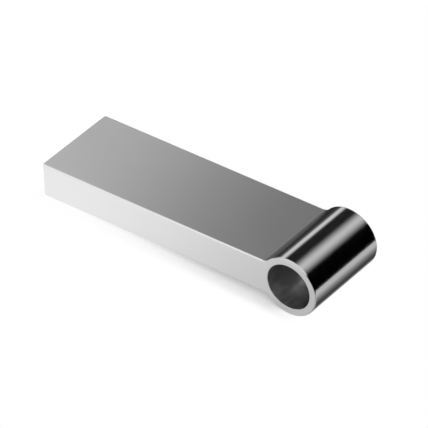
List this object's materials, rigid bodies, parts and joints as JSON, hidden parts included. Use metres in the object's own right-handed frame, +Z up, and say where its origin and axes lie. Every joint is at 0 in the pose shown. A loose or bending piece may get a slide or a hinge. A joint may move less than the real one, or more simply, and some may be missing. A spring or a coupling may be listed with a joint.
{
  "type": "wireless adapter stick",
  "caption": "Slim metal wireless adapter stick: a flat plug section with an open mouth and a tube for a key ring across its far end.",
  "frame": {"origin": "middle of the length and width, at the level of the tube's lowest line", "axes": "+X from the plug's mouth to the tube, +Y across the width along the tube, +Z up through the flat upper face"},
  "size_m": [0.04, 0.012, 0.0078],
  "materials": {
    "case_metal": "plated metal, satin on the bar and polished on the tube",
    "carrier_plastic": "moulded black",
    "cover_plastic": "moulded black",
    "board_laminate": "green solder mask",
    "contact_gold": "gold plated",
    "chip_resin": "moulded resin",
    "tinned_leads": "tin plated",
    "crystal_ceramic": "fired ceramic",
    "crystal_metal": "nickel plated",
    "antenna_ceramic": "fired ceramic",
    "capacitor_ceramic": "fired ceramic",
    "coil_ferrite": "ferrite",
    "resistor_black": "glazed black"
  },
  "bodies": {
    "root": {"case": "case_metal", "contact_carrier": "carrier_plastic", "carrier_cover": "cover_plastic", "circuit_board": "board_laminate", "contact_power": "contact_gold", "contact_data_minus": "contact_gold", "contact_data_plus": "contact_gold", "contact_ground": "contact_gold", "radio_chip": "chip_resin", "radio_chip_pads": "tinned_leads", "memory_chip": "chip_resin", "memory_chip_leads": "tinned_leads", "voltage_regulator": "chip_resin", "regulator_leads": "tinned_leads", "crystal_base": "crystal_ceramic", "crystal_lid": "crystal_metal", "antenna": "antenna_ceramic", "bulk_capacitor": "capacitor_ceramic", "power_inductor": "coil_ferrite", "band_filter": "antenna_ceramic", "capacitor_1": "capacitor_ceramic", "capacitor_2": "capacitor_ceramic", "capacitor_3": "capacitor_ceramic", "capacitor_4": "capacitor_ceramic", "capacitor_5": "capacitor_ceramic", "capacitor_6": "capacitor_ceramic", "capacitor_7": "capacitor_ceramic", "capacitor_8": "capacitor_ceramic", "resistor_1": "resistor_black", "resistor_2": "resistor_black", "resistor_3": "resistor_black"}
  },
  "joints": []
}
